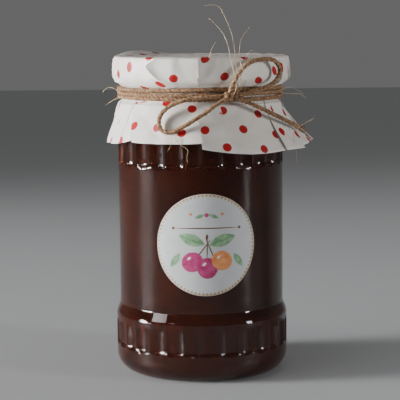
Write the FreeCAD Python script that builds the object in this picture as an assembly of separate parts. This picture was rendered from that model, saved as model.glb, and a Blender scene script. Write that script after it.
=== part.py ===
"""Fluted glass jar of dark fruit jelly with a pleated paper cover tied on by jute twine.

Millimetres, +Z up. The origin is the middle of the flat base, on the jar's axis,
and -Y is the front, where the round label is. An azimuth is counted in degrees
from the front towards +X.
"""
import FreeCAD, Part
import math
import os

V = FreeCAD.Vector
AXIS = V(0, 0, 1)
ORIGIN = V(0, 0, 0)

# ---------------------------------------------------------------- driving sizes
# glass jar, outside
BODY_R = 41.4               # smooth body behind the label
BAND_STEP = 1.9             # how far the foot's band stands out from the body
FOOT_CORNER_R = 9.0         # round corner between the base and the foot's band
FOOT_TOP = 28.6             # where the foot's band turns into the shoulder ring
RING_EDGE_R = 2.2           # round outer edge of the shoulder ring
RING_RISE = 6.0             # from the band's top up the ring's slope to the body
SHOULDER_START = 121.5      # the body starts to turn in towards the neck
SHOULDER_RISE = 13.0
NECK_INSET = 3.4            # how far the neck lies inside the body
NECK_LENGTH = 10.4
FINISH_STEP = 2.3           # how far the threaded mouth stands out from the neck
FINISH_HEIGHT = 11.9
RIM_ROUND = 1.2
# glass jar, inside
BASE_GLASS = 3.4            # thickness of the glass in the base
BODY_WALL = 2.9
FOOT_WALL = 3.7
NECK_WALL = 2.6
INNER_CORNER_R = 6.2
INNER_STEP_RISE = 1.4       # the inside turns in this far above the foot's band
# flutes pressed into the glass
FLUTES = 30
FLUTE_DEPTH = 1.3
FLUTE_END_R = 2.6           # round run-out at each end of a flute
FLUTE_OVERLAP = 1.02        # neighbours meet in a narrow ridge
FOOT_FLUTE_LENGTH = 14.0
FOOT_FLUTE_MARGIN = 1.4     # plain glass between these flutes and the ring
UPPER_FLUTE_LENGTH = 16.1
UPPER_FLUTE_MARGIN = 1.0    # plain glass between these flutes and the shoulder
# jelly
JELLY_GAP = 0.25            # clearance from the glass all round
JELLY_HEADSPACE = 9.8       # from the rim down to the jelly
JELLY_EDGE_R = 1.5
# lid
LID_SHEET = 0.6
LID_THREAD_ROOM = 1.3       # between the mouth and the lid's skirt
LID_CORNER_R = 1.8
LID_SKIRT = 9.8
LID_CURL_R = 0.7
LID_STEP = 0.5              # the lid's middle is pressed down inside the mouth this much
# paper cover
COVER_WALL = 0.7
COVER_TOP_GAP = 0.2
COVER_NECK_GAP = 0.4
DRUM_BULGE = 2.8            # the folded paper stands off the lid's side this much
DRUM_EDGE = 1.2             # the top edge stands off the lid's corner this much
SKIRT_PUFF = 2.0            # how far the paper springs out just below the twine
SKIRT_PUFF_DROP = 1.2
SKIRT_SPREAD = 13.0         # how far the hem stands out from the neck
ROUTE_SPREAD = 13.0         # the spread that the twine's routes are laid out for
SKIRT_SPREAD_SWAY = 4.0     # the skirt leans out more on the right
SKIRT_FLARE = 1.25          # 1 is a straight slope, more curls outwards
PLEAT_STEP_DRUM = 0.7
PLEAT_STEP_SKIRT = 1.5
PLEAT_EDGE = 1.6            # azimuth taken up by a fold's edge, degrees
PANELS = (                  # (azimuth of the fold, slope from the twine to the hem at its start and end)
    (-84, 24.1, 20.6), (-43, 22.1, 22.7), (1, 24.5, 28.5), (44, 28.5, 26.7), (80, 26.5, 25.5),
    (108, 25.7, 25.1), (138, 25.1, 25.7), (165, 25.3, 24.7), (196, 25.3, 24.9), (222, 25.1, 24.3),
    (250, 24.5, 23.9),
)
# twine
TWINE_R = 1.05
BAND_TURNS = 3
BAND_PITCH = 2.2            # height from one turn to the next
BAND_RISE = 2.3             # from the bottom of the neck up to the first turn
BAND_GAP = 0.3
KNOT_AZIMUTH = 19.5
KNOT_HALF_LENGTH = 4.95 * TWINE_R
KNOT_HALF_DEPTH = 2.476 * TWINE_R
KNOT_END_R = 1.714 * TWINE_R
KNOT_GAP = 0.2
FIBRE_R = 0.22
# label
LABEL_R = 24.8
LABEL_RISE = 34.0           # from the shoulder ring up to the label's middle
LABEL_AZIMUTH = 3.6
LABEL_PAPER = 0.2
LABEL_GAP = 0.2
LABEL_OUTLINE_POINTS = 32

# ---------------------------------------------------------------- sizes that follow
FOOT_R = BODY_R + BAND_STEP
NECK_R = BODY_R - NECK_INSET
FINISH_R = NECK_R + FINISH_STEP
INNER_BODY_R = BODY_R - BODY_WALL
INNER_FOOT_R = FOOT_R - FOOT_WALL
INNER_NECK_R = NECK_R - NECK_WALL
BODY_START = FOOT_TOP + RING_RISE
NECK_LOW = SHOULDER_START + SHOULDER_RISE
NECK_HIGH = NECK_LOW + NECK_LENGTH
RIM_Z = NECK_HIGH + FINISH_HEIGHT
LID_R = FINISH_R + LID_THREAD_ROOM + LID_SHEET
LID_TOP = RIM_Z + LID_SHEET
COVER_TOP = LID_TOP + COVER_TOP_GAP + COVER_WALL
COVER_NECK_R = NECK_R + COVER_NECK_GAP + COVER_WALL
COVER_EDGE_R = LID_R + DRUM_EDGE
COVER_DRUM_R = LID_R + DRUM_BULGE
BAND_LOW = NECK_LOW + BAND_RISE
BAND_HIGH = BAND_LOW + 2 * TWINE_R + BAND_PITCH * (BAND_TURNS - 1)
BAND_INNER_R = COVER_NECK_R + BAND_GAP
BAND_OUTER_R = BAND_INNER_R + 2 * TWINE_R
KNOT_Z = (BAND_LOW + BAND_HIGH) / 2
LABEL_Z = BODY_START + LABEL_RISE

# The twine's routes: (azimuth, distance off the wound band, height above the knot's middle).
UPPER_LOOP = (
    (18, 3.1, 0.3), (18.5, 6, 5.3), (22, 7.1, 10.8), (28.5, 7.1, 16), (38, 7.4, 17.3), (47.5, 7.8, 16.6),
    (52.5, 7.9, 11), (47, 7.1, 5.2), (36.5, 6, 2.6), (28, 4.7, 1.2), (21, 3.3, 0.3),
)
LOWER_LOOP = (
    (19.5, 3.1, -0.4), (11, 4.6, -2.8), (4, 5.1, -7.2), (-3, 6, -10.8), (-10, 7.1, -14.2), (-16.5, 8, -17.2),
    (-23.5, 7.3, -15.8), (-24.5, 5.7, -9.2), (-19, 4.2, -4.4), (-10.5, 3.1, -1.8), (-1, 2.6, -0.7),
    (8.5, 2.6, -0.4), (17, 2.6, 0),
)
TAIL = (
    (21.5, 3.3, -1.2), (28, 4.4, -2.7), (37.5, 5.3, -6), (47.5, 7, -9.7), (56, 8.7, -12.8),
    (65, 10.1, -15.8), (75, 11.4, -18.4),
)
FIBRES = {
    "twine_fibre_tall": (
        (20, 3.4, 1), (23.5, 7.6, 5), (21, 10.2, 10), (19, 9, 15.6), (20, 6.8, 22.6),
        (19, 4.3, 30.2), (16, 1.8, 37.3), (12, 0.2, 43.8), (3.5, -0.6, 42.3),
    ),
    "twine_fibre_left": (
        (20, 4, 0), (20.5, 8.6, 3.6), (18.5, 10.6, 9.2), (17, 9.2, 15.3), (16.5, 6.3, 23.3),
        (13.5, 3.8, 31.3), (5.5, 1.7, 36.8),
    ),
    "twine_fibre_right": (
        (21, 3.2, 0.6), (26, 7.3, 4.6), (24.5, 10.1, 9.6), (22, 9.1, 15.2), (22, 7.6, 21.3),
        (24, 6.4, 27.6), (30, 6.4, 32.8),
    ),
}


# ---------------------------------------------------------------- helpers
def on_axis_plane(r, z):
    """A point of a turned outline, at radius r and height z."""
    return V(r, 0, z)


def polar(r, azimuth, z):
    """A point at radius r and height z, at an azimuth in degrees from the front."""
    a = math.radians(azimuth)
    return V(r * math.sin(a), -r * math.cos(a), z)


def line(a, b):
    return Part.LineSegment(a, b).toShape()


def arc(a, middle, b):
    return Part.Arc(a, middle, b).toShape()


def quarter(start, end, centre):
    """The short arc from start to end about centre."""
    middle = (start + end) * 0.5 - centre
    middle.normalize()
    return arc(start, centre + middle * (start - centre).Length, end)


def turned(edges):
    """The solid that a closed outline sweeps round the jar's axis."""
    return Part.Face(Part.Wire(edges)).revolve(ORIGIN, AXIS, 360)


def save(shape, node):
    solid = shape.Solids[0] if len(shape.Solids) == 1 else shape
    print(f"{node}: {len(shape.Solids)} solid, valid {shape.isValid()}, {shape.Volume / 1000:.2f} cm3")
    solid.exportStep(f"parts/{node}.step")


# ---------------------------------------------------------------- glass jar
def outer_outline():
    """Edges of the jar's outside, from the middle of the base to the rim."""
    corner_in = on_axis_plane(FOOT_R - FOOT_CORNER_R, 0)
    corner_out = on_axis_plane(FOOT_R, FOOT_CORNER_R)
    ring_low = on_axis_plane(FOOT_R, FOOT_TOP)
    ring_high = on_axis_plane(FOOT_R - RING_EDGE_R * 0.5, FOOT_TOP + RING_EDGE_R)
    ring_middle = on_axis_plane(FOOT_R - RING_EDGE_R * 0.13, FOOT_TOP + RING_EDGE_R * 0.56)
    body_low = on_axis_plane(BODY_R, BODY_START)
    body_high = on_axis_plane(BODY_R, SHOULDER_START)
    neck_low = on_axis_plane(NECK_R, NECK_LOW)
    shoulder = on_axis_plane(BODY_R - NECK_INSET * 0.36, SHOULDER_START + SHOULDER_RISE * 0.5)
    neck_high = on_axis_plane(NECK_R, NECK_HIGH)
    finish_low = on_axis_plane(FINISH_R, NECK_HIGH + FINISH_STEP * 0.5)
    rim_out = on_axis_plane(FINISH_R, RIM_Z - RIM_ROUND)
    rim_top = on_axis_plane(FINISH_R - RIM_ROUND, RIM_Z)
    return [
        line(ORIGIN, corner_in),
        quarter(corner_in, corner_out, on_axis_plane(corner_in.x, FOOT_CORNER_R)),
        line(corner_out, ring_low),
        arc(ring_low, ring_middle, ring_high),
        line(ring_high, body_low),
        line(body_low, body_high),
        arc(body_high, shoulder, neck_low),
        line(neck_low, neck_high),
        line(neck_high, finish_low),
        line(finish_low, rim_out),
        quarter(rim_out, rim_top, on_axis_plane(rim_top.x, rim_out.z)),
    ]


def inner_outline(gap, level):
    """Edges of the jar's inside drawn in by a gap, from the level down to the axis."""
    band = INNER_FOOT_R - gap
    body = INNER_BODY_R - gap
    neck = INNER_NECK_R - gap
    floor = BASE_GLASS + gap
    corner = INNER_CORNER_R - gap
    band_top = FOOT_TOP + INNER_STEP_RISE
    top = on_axis_plane(neck, level)
    neck_low = on_axis_plane(neck, NECK_LOW)
    body_high = on_axis_plane(body, SHOULDER_START)
    body_low = on_axis_plane(body, BODY_START + INNER_STEP_RISE)
    band_high = on_axis_plane(band, band_top)
    band_low = on_axis_plane(band, floor + corner)
    floor_edge = on_axis_plane(band - corner, floor)
    return [
        line(top, neck_low),
        line(neck_low, body_high),
        line(body_high, body_low),
        line(body_low, band_high),
        line(band_high, band_low),
        quarter(band_low, floor_edge, on_axis_plane(floor_edge.x, band_low.z)),
        line(floor_edge, on_axis_plane(0, floor)),
    ]


def flute_cutter(radius, low, high):
    """A round-ended bar that presses one flute into a wall of the given radius."""
    half = math.pi / FLUTES * FLUTE_OVERLAP
    ridge_depth = radius * math.cos(half) - (radius - FLUTE_DEPTH)
    bar_r = (ridge_depth ** 2 + (radius * math.sin(half)) ** 2) / (2 * ridge_depth)
    end = FLUTE_END_R
    flat = bar_r - end
    outline = [
        line(V(0, 0, low), V(flat, 0, low)),
        quarter(V(flat, 0, low), V(bar_r, 0, low + end), V(flat, 0, low + end)),
        line(V(bar_r, 0, low + end), V(bar_r, 0, high - end)),
        quarter(V(bar_r, 0, high - end), V(flat, 0, high), V(flat, 0, high - end)),
        line(V(flat, 0, high), V(0, 0, high)),
        line(V(0, 0, high), V(0, 0, low)),
    ]
    bar = turned(outline)
    bar.translate(V(radius - FLUTE_DEPTH + bar_r, 0, 0))
    return bar


def fluted(glass, radius, low, high):
    """The glass with a ring of flutes between two heights."""
    cutters = []
    for i in range(FLUTES):
        bar = flute_cutter(radius, low, high)
        bar.rotate(ORIGIN, AXIS, 360 / FLUTES * (i + 0.5) - 90)
        cutters.append(bar)
    return glass.cut(cutters)


def jar():
    outer = outer_outline()
    mouth = on_axis_plane(INNER_NECK_R, RIM_Z)
    rim_in = on_axis_plane(INNER_NECK_R, RIM_Z - 2.0)
    rim_top = outer[-1].Vertexes[-1].Point
    inner = inner_outline(0, rim_in.z)
    outline = outer + [line(rim_top, mouth), line(mouth, rim_in)] + inner
    outline.append(line(on_axis_plane(0, BASE_GLASS), ORIGIN))
    glass = turned(outline)
    foot_flute_high = FOOT_TOP - FOOT_FLUTE_MARGIN
    upper_flute_high = SHOULDER_START - UPPER_FLUTE_MARGIN
    glass = fluted(glass, FOOT_R, foot_flute_high - FOOT_FLUTE_LENGTH, foot_flute_high)
    return fluted(glass, BODY_R, upper_flute_high - UPPER_FLUTE_LENGTH, upper_flute_high)


def jelly():
    level = on_axis_plane(0, RIM_Z - JELLY_HEADSPACE)
    radius = INNER_NECK_R - JELLY_GAP
    edge_in = on_axis_plane(radius - JELLY_EDGE_R, level.z)
    edge_out = on_axis_plane(radius, level.z - JELLY_EDGE_R)
    sides = inner_outline(JELLY_GAP, edge_out.z)
    outline = [
        line(level, edge_in),
        quarter(edge_in, edge_out, on_axis_plane(edge_in.x, edge_out.z)),
    ] + sides + [line(on_axis_plane(0, BASE_GLASS + JELLY_GAP), level)]
    return turned(outline)


# ---------------------------------------------------------------- lid
def lid():
    """A twist-off lid: a pressed disc with a raised edge ring, a skirt and a curled foot."""
    low = LID_TOP - LID_SKIRT
    inside = LID_R - LID_SHEET
    bend = LID_CORNER_R
    inner_bend = bend - LID_SHEET
    ring_in = INNER_NECK_R - LID_STEP
    sheet = [
        line(on_axis_plane(0, LID_TOP - LID_STEP), on_axis_plane(ring_in - LID_STEP, LID_TOP - LID_STEP)),
        line(on_axis_plane(ring_in - LID_STEP, LID_TOP - LID_STEP), on_axis_plane(ring_in, LID_TOP)),
        line(on_axis_plane(ring_in, LID_TOP), on_axis_plane(LID_R - bend, LID_TOP)),
        quarter(on_axis_plane(LID_R - bend, LID_TOP), on_axis_plane(LID_R, LID_TOP - bend),
                on_axis_plane(LID_R - bend, LID_TOP - bend)),
        line(on_axis_plane(LID_R, LID_TOP - bend), on_axis_plane(LID_R, low)),
        arc(on_axis_plane(LID_R, low), on_axis_plane(LID_R - LID_CURL_R, low - LID_CURL_R),
            on_axis_plane(LID_R - 2 * LID_CURL_R, low)),
        line(on_axis_plane(LID_R - 2 * LID_CURL_R, low), on_axis_plane(inside, low + 1.5)),
        line(on_axis_plane(inside, low + 1.5), on_axis_plane(inside, LID_TOP - bend)),
        quarter(on_axis_plane(inside, LID_TOP - bend), on_axis_plane(LID_R - bend, RIM_Z),
                on_axis_plane(LID_R - bend, RIM_Z - inner_bend)),
        line(on_axis_plane(LID_R - bend, RIM_Z), on_axis_plane(ring_in, RIM_Z)),
        line(on_axis_plane(ring_in, RIM_Z), on_axis_plane(ring_in - LID_STEP, RIM_Z - LID_STEP)),
        line(on_axis_plane(ring_in - LID_STEP, RIM_Z - LID_STEP), on_axis_plane(0, RIM_Z - LID_STEP)),
        line(on_axis_plane(0, RIM_Z - LID_STEP), on_axis_plane(0, LID_TOP - LID_STEP)),
    ]
    return turned(sheet)


# ---------------------------------------------------------------- paper cover
def cover_columns():
    """The columns of the cover's facets: (azimuth, share of the way across its panel, slope to the hem)."""
    columns = []
    for i, (start, first_slope, last_slope) in enumerate(PANELS):
        after = PANELS[(i + 1) % len(PANELS)][0]
        end = after if after > start else after + 360
        first = start + PLEAT_EDGE / 2
        last = end - PLEAT_EDGE / 2
        for share in (0.0, 0.25, 0.5, 0.75, 1.0):
            slope = first_slope + (last_slope - first_slope) * share
            columns.append((first + (last - first) * share, share, slope))
    return columns


def cover_levels(azimuth, share, slope):
    """Points down one column of the cover's outside: (radius, height) from the top edge to the hem.

    A panel lies on top at its start, share 0, and dips under the next at its end, share 1.
    """
    drum = COVER_DRUM_R - PLEAT_STEP_DRUM * share
    spread = SKIRT_SPREAD + SKIRT_SPREAD_SWAY * math.sin(math.radians(azimuth))
    hem_r = COVER_NECK_R + spread - PLEAT_STEP_SKIRT * share
    hem_z = BAND_LOW - math.sqrt(slope ** 2 - spread ** 2)
    puff_r = COVER_NECK_R + SKIRT_PUFF
    puff_z = BAND_LOW - SKIRT_PUFF_DROP
    levels = [
        (COVER_EDGE_R - 2.2, COVER_TOP),
        (COVER_EDGE_R + 0.4, COVER_TOP - 1.2),
        (drum - 0.2, COVER_TOP - 4.0),
        (drum, COVER_TOP - 9.0),
        (drum - 0.8, BAND_HIGH + 2.0),
        (COVER_NECK_R, BAND_HIGH),
        (COVER_NECK_R, BAND_LOW),
    ]
    for part_way in (0, 1 / 3, 2 / 3, 1):
        z = puff_z + (hem_z - puff_z) * part_way
        r = puff_r + (hem_r - puff_r) * part_way ** SKIRT_FLARE
        levels.append((r, z))
    return levels


def triangle(a, b, c):
    return Part.Face(Part.makePolygon([a, b, c, a]))


def cover():
    """A closed faceted skin: outside and inside are the same columns, a wall apart."""
    columns = cover_columns()
    outside = []
    inside = []
    for azimuth, share, slope in columns:
        levels = cover_levels(azimuth, share, slope)
        outside.append([polar(r, azimuth, z) for r, z in levels])
        under = [(levels[0][0], levels[0][1] - COVER_WALL)]
        under += [(r - COVER_WALL, z - COVER_WALL * 0.6) for r, z in levels[1:3]]
        under += [(r - COVER_WALL, z) for r, z in levels[3:]]
        inside.append([polar(r, azimuth, z) for r, z in under])
    top = V(0, 0, COVER_TOP)
    under_top = V(0, 0, COVER_TOP - COVER_WALL)
    faces = []
    for i in range(len(columns)):
        j = (i + 1) % len(columns)
        faces.append(triangle(top, outside[i][0], outside[j][0]))
        faces.append(triangle(under_top, inside[j][0], inside[i][0]))
        for k in range(len(outside[i]) - 1):
            faces.append(triangle(outside[i][k], outside[i][k + 1], outside[j][k + 1]))
            faces.append(triangle(outside[i][k], outside[j][k + 1], outside[j][k]))
            faces.append(triangle(inside[i][k], inside[j][k + 1], inside[i][k + 1]))
            faces.append(triangle(inside[i][k], inside[j][k], inside[j][k + 1]))
        faces.append(triangle(outside[i][-1], inside[i][-1], inside[j][-1]))
        faces.append(triangle(outside[i][-1], inside[j][-1], outside[j][-1]))
    print(f"cover: {len(faces)} facets")
    shell = Part.makeShell(faces)
    shell.sewShape()
    return Part.makeSolid(shell)


# ---------------------------------------------------------------- twine
def twine_band():
    """The turns wound round the neck, as one ring with a round bead for each turn."""
    middle = BAND_INNER_R + TWINE_R
    half_pitch = BAND_PITCH / 2
    valley = middle + math.sqrt(max(TWINE_R ** 2 - half_pitch ** 2, 0))
    edges = []
    low = BAND_LOW
    last = on_axis_plane(middle, low)
    for turn in range(BAND_TURNS):
        centre_z = BAND_LOW + TWINE_R + BAND_PITCH * turn
        start = on_axis_plane(valley, centre_z - half_pitch)
        end = on_axis_plane(valley, centre_z + half_pitch)
        if turn == 0:
            start = on_axis_plane(middle, centre_z - TWINE_R)
        if turn == BAND_TURNS - 1:
            end = on_axis_plane(middle, centre_z + TWINE_R)
        if (start - last).Length > 1e-6:
            edges.append(line(last, start))
        edges.append(arc(start, on_axis_plane(middle + TWINE_R, centre_z), end))
        last = end
    high = last.z
    edges.append(line(last, on_axis_plane(BAND_INNER_R, high)))
    edges.append(line(on_axis_plane(BAND_INNER_R, high), on_axis_plane(BAND_INNER_R, low)))
    edges.append(line(on_axis_plane(BAND_INNER_R, low), on_axis_plane(middle, low)))
    return turned(edges)


def twine_knot():
    """The tight knot of the bow, a rounded lump seated on the band."""
    left = V(-KNOT_HALF_LENGTH, 0, 0)
    right = V(KNOT_HALF_LENGTH, 0, 0)
    rise = V(0, 0, KNOT_END_R)
    outline = [
        line(left, left + rise),
        arc(left + rise, V(0, 0, KNOT_HALF_DEPTH), right + rise),
        line(right + rise, right),
        line(right, left),
    ]
    lump = Part.Face(Part.Wire(outline)).revolve(ORIGIN, V(1, 0, 0), 360)
    lump.rotate(ORIGIN, AXIS, KNOT_AZIMUTH)
    lump.translate(polar(BAND_OUTER_R + KNOT_GAP + KNOT_HALF_DEPTH, KNOT_AZIMUTH, KNOT_Z))
    return lump


def on_route(azimuth, off, rise):
    """A point of a route, counted from the wound band and the knot."""
    r = BAND_OUTER_R + off
    lower = min(1.0, max(0.0, (-rise - 2) / 6))
    r += lower * (r - COVER_NECK_R) * (SKIRT_SPREAD / ROUTE_SPREAD - 1)
    return polar(r, azimuth, KNOT_Z + rise)


def cord_path(points):
    """Straight runs joined by tangent arcs, each as large as its two runs allow."""
    edges = []
    radii = []
    last = points[0]
    for before, corner, after in zip(points, points[1:], points[2:]):
        run_in = corner - before
        run_out = after - corner
        reach = 0.45 * min(run_in.Length, run_out.Length)
        turn = run_in.getAngle(run_out)
        radius = reach / math.tan(turn / 2)
        radii.append(radius)
        run_in.normalize()
        run_out.normalize()
        start = corner - run_in * reach
        end = corner + run_out * reach
        inwards = run_out - run_in
        inwards.normalize()
        to_centre = math.hypot(radius, reach)
        middle = corner + inwards * (to_centre - radius)
        edges.append(line(last, start))
        edges.append(arc(start, middle, end))
        last = end
    edges.append(line(last, points[-1]))
    return Part.Wire(edges), radii


def cord_tube(node, route, radius, knot):
    """A round tube along the route, cut flush where it leaves the knot."""
    points = [on_route(*p) for p in route]
    path, radii = cord_path(points)
    ring = Part.Wire(Part.makeCircle(radius, points[0], points[1] - points[0]))
    tube = path.makePipeShell([ring], True, False)
    share = tube.Volume / (math.pi * radius ** 2 * path.Length)
    print(f"{node}: {path.Length:.1f} mm, volume share {share:.3f}, radii",
          " ".join(f"{r:.1f}" for r in radii))
    return tube.cut(knot)


# ---------------------------------------------------------------- label
def label():
    """A round paper label bent round the body."""
    inner = BODY_R + LABEL_GAP
    outer = inner + LABEL_PAPER
    tall = 2 * LABEL_R + 10
    skin = Part.makeCylinder(outer, tall, V(0, 0, -tall / 2)).cut(
        Part.makeCylinder(inner, tall, V(0, 0, -tall / 2)))
    points = []
    for i in range(LABEL_OUTLINE_POINTS):
        turn = 2 * math.pi * i / LABEL_OUTLINE_POINTS
        round_jar = LABEL_R * math.cos(turn) / outer
        points.append(V(outer * math.sin(round_jar), 0, LABEL_R * math.sin(turn)))
    outline = Part.BSplineCurve()
    outline.interpolate(Points=points, PeriodicFlag=True)
    stamp = Part.Face(Part.Wire(outline.toShape())).extrude(V(0, -2 * outer, 0))
    disc = skin.common(stamp)
    disc.rotate(ORIGIN, AXIS, LABEL_AZIMUTH)
    disc.translate(V(0, 0, LABEL_Z))
    return disc


# ---------------------------------------------------------------- the whole part
os.makedirs("parts", exist_ok=True)
save(jar(), "jar")
save(jelly(), "jelly")
save(lid(), "lid")
save(cover(), "cover")
save(label(), "label")
save(twine_band(), "twine_band")
bow_knot = twine_knot()
save(bow_knot, "twine_knot")
save(cord_tube("twine_loop_upper", UPPER_LOOP, TWINE_R, bow_knot), "twine_loop_upper")
save(cord_tube("twine_loop_lower", LOWER_LOOP, TWINE_R, bow_knot), "twine_loop_lower")
save(cord_tube("twine_tail", TAIL, TWINE_R, bow_knot), "twine_tail")
for fibre, route in FIBRES.items():
    save(cord_tube(fibre, route, FIBRE_R, bow_knot), fibre)
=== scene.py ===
# %% [markdown]
# # A jar of jelly under a paper cover
#
# A fluted glass jar, filled with dark jelly, with a round paper label on its body and a dotted
# paper cover gathered round its neck with jute twine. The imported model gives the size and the
# place of every piece. This lesson gives each one its looks, one piece at a time.

# %% Load the frame
import bpy
import bmesh
import math
import random
from mathutils import Matrix, Vector, noise


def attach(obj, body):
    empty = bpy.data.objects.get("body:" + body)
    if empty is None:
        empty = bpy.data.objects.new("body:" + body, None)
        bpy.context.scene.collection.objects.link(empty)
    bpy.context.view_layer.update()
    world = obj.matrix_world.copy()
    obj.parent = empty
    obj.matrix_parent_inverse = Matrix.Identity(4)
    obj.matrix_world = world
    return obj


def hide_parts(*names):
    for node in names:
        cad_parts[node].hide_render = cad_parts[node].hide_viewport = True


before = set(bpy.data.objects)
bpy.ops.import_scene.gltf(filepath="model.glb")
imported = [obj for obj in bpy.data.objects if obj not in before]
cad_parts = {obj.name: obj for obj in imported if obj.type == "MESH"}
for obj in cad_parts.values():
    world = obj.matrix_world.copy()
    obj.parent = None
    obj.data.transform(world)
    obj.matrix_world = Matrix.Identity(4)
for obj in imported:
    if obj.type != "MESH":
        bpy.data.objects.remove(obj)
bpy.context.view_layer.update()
MM = 0.001
print("nodes:", ", ".join(sorted(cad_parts)))

# %% [markdown]
# ## The camera
#
# The jar is seen from a little above the twine, from far off, so its sides look almost parallel.
# A long lens from 71 cm does that. The camera is leaned by half a degree, as a hand-held one is.

# %% The camera
camera = bpy.data.objects.new("camera", bpy.data.cameras.new("camera"))
bpy.context.scene.collection.objects.link(camera)
camera.data.sensor_width = 36
camera.data.lens = 127
camera.data.clip_start = 0.01
camera.matrix_world = (Matrix.Translation((-0.00045, -0.71, 0.175))
                       @ Matrix.Rotation(math.radians(82.8), 4, "X")
                       @ Matrix.Rotation(math.radians(-0.5), 4, "Z"))
bpy.context.scene.camera = camera
print("camera at", [round(c, 3) for c in camera.location])

# %% [markdown]
# ## Places round the jar
#
# Most things here are easier to give as an azimuth round the jar, counted in degrees from the
# front towards the right, a distance from the axis and a height. One helper turns that into x, y
# and z. Another puts a finished mesh into the scene and lets it ride on the jar's one body.


# %% Helpers for places and pieces
def around(azimuth, radius, height):
    """A point in metres, from degrees and millimetres."""
    turn = math.radians(azimuth)
    return Vector((radius * math.sin(turn), -radius * math.cos(turn), height)) * MM


def add_piece(name, bm, node=None, sharp=None):
    """A new object from a finished bmesh, riding on the jar."""
    mesh = bpy.data.meshes.new(name)
    bm.to_mesh(mesh)
    bm.free()
    for face in mesh.polygons:
        face.use_smooth = True
    if sharp is not None:
        mesh.set_sharp_from_angle(angle=math.radians(sharp))
    piece = bpy.data.objects.new(name, mesh)
    bpy.context.scene.collection.objects.link(piece)
    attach(piece, "root")
    if node:
        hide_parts(node)
    print(f"{name}: {len(mesh.vertices)} vertices, {len(mesh.polygons)} faces")
    return piece


# %% [markdown]
# ## Twine
#
# Jute twine is three loose strands twisted together, about 2 mm thick, with fibres that stick out
# all along it. A cord could be one smooth tube with a bump, but its outline would give it away,
# so each strand is swept on its own. First the cord's line: a smooth NURBS spline through the
# bow's route. Then a frame that slides along the line without turning, and three rings that turn
# round it. The line of each loop starts and ends inside the knot.

# %% The bow's routes
# Each point is (azimuth, distance off the wound band, height above the knot's middle).
BAND_OUTER_R = 41.5
KNOT_Z = 140.05
UPPER_LOOP = (
    (18, 3.1, 0.3), (18.5, 6, 5.3), (22, 7.1, 10.8), (28.5, 7.1, 16), (38, 7.4, 17.3), (47.5, 7.8, 16.6),
    (52.5, 7.9, 11), (47, 7.1, 5.2), (36.5, 6, 2.6), (28, 4.7, 1.2), (21, 3.3, 0.3),
)
LOWER_LOOP = (
    (19.5, 3.1, -0.4), (11, 4.6, -2.8), (4, 5.1, -7.2), (-3, 6, -10.8), (-10, 7.1, -14.2), (-16.5, 8, -17.2),
    (-23.5, 7.3, -15.8), (-24.5, 5.7, -9.2), (-19, 4.2, -4.4), (-10.5, 3.1, -1.8), (-1, 2.6, -0.7),
    (8.5, 2.6, -0.4), (17, 2.6, 0),
)
TAIL = (
    (21.5, 3.3, -1.2), (28, 4.4, -2.7), (37.5, 5.3, -6), (47.5, 7, -9.7), (56, 8.7, -12.8),
    (65, 10.1, -15.8), (75, 11.4, -18.4),
)


def on_route(azimuth, off, rise):
    return around(azimuth, BAND_OUTER_R + off, KNOT_Z + rise)


def spline_points(points, resolution):
    """The points of a smooth NURBS spline that has the given ones as its control points."""
    data = bpy.data.curves.new("line", "CURVE")
    data.dimensions = "3D"
    data.resolution_u = resolution
    spline = data.splines.new("NURBS")
    spline.points.add(len(points) - 1)
    for point, place in zip(spline.points, points):
        point.co = (*place, 1)
    spline.order_u = 3
    spline.use_endpoint_u = True
    holder = bpy.data.objects.new("line", data)
    mesh = bpy.data.meshes.new_from_object(holder)
    line = [v.co.copy() for v in mesh.vertices]
    bpy.data.objects.remove(holder)
    bpy.data.curves.remove(data)
    bpy.data.meshes.remove(mesh)
    return line


def length_of(line):
    return sum((b - a).length for a, b in zip(line, line[1:]))


upper_line = spline_points([on_route(*p) for p in UPPER_LOOP], 12)
lower_line = spline_points([on_route(*p) for p in LOWER_LOOP], 12)
tail_line = spline_points([on_route(*p) for p in TAIL], 12)
for title, line in (("upper loop", upper_line), ("lower loop", lower_line), ("tail", tail_line)):
    print(f"{title}: {length_of(line) / MM:.1f} mm on {len(line)} points")


# %% A frame that slides along a line
def frames_along(line, step):
    """Matrices at even steps along a line: z runs along it, x and y don't spin round it."""
    count = max(2, round(length_of(line) / step))
    step = length_of(line) / count
    places = [line[0]]
    done = 0.0
    for a, b in zip(line, line[1:]):
        run = (b - a).length
        while len(places) < count and len(places) * step <= done + run:
            places.append(a.lerp(b, (len(places) * step - done) / run))
        done += run
    places.append(line[-1])
    side = Vector((0, 0, 1))
    frames = []
    for i, place in enumerate(places):
        ahead = (places[min(i + 1, count)] - places[max(i - 1, 0)]).normalized()
        side = (side - ahead * side.dot(ahead)).normalized()
        across = ahead.cross(side)
        frames.append(Matrix.Translation(place) @ Matrix((side, across, ahead)).transposed().to_4x4())
    return frames


# %% Round tubes
def add_tubes(bm, runs, kind, roundness, resolution=4):
    """Puts a closed round tube into bm for each run of (point, radius in mm) pairs."""
    data = bpy.data.curves.new("tubes", "CURVE")
    data.dimensions = "3D"
    data.resolution_u = resolution
    data.bevel_depth = MM
    data.bevel_resolution = roundness
    data.use_fill_caps = True
    for run in runs:
        spline = data.splines.new(kind)
        spline.points.add(len(run) - 1)
        for point, (place, radius) in zip(spline.points, run):
            point.co = (*place, 1)
            point.radius = radius
        if kind == "NURBS":
            spline.order_u = 3
            spline.use_endpoint_u = True
    holder = bpy.data.objects.new("tubes", data)
    mesh = bpy.data.meshes.new_from_object(holder)
    bm.from_mesh(mesh)
    bpy.data.objects.remove(holder)
    bpy.data.curves.remove(data)
    bpy.data.meshes.remove(mesh)


# %% Strands and loose fibres
STRANDS = 3
STRAND_R = 0.62
STRAND_OFF = 0.5
TWIST_PITCH = 7.0
STEP = 0.7


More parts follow.
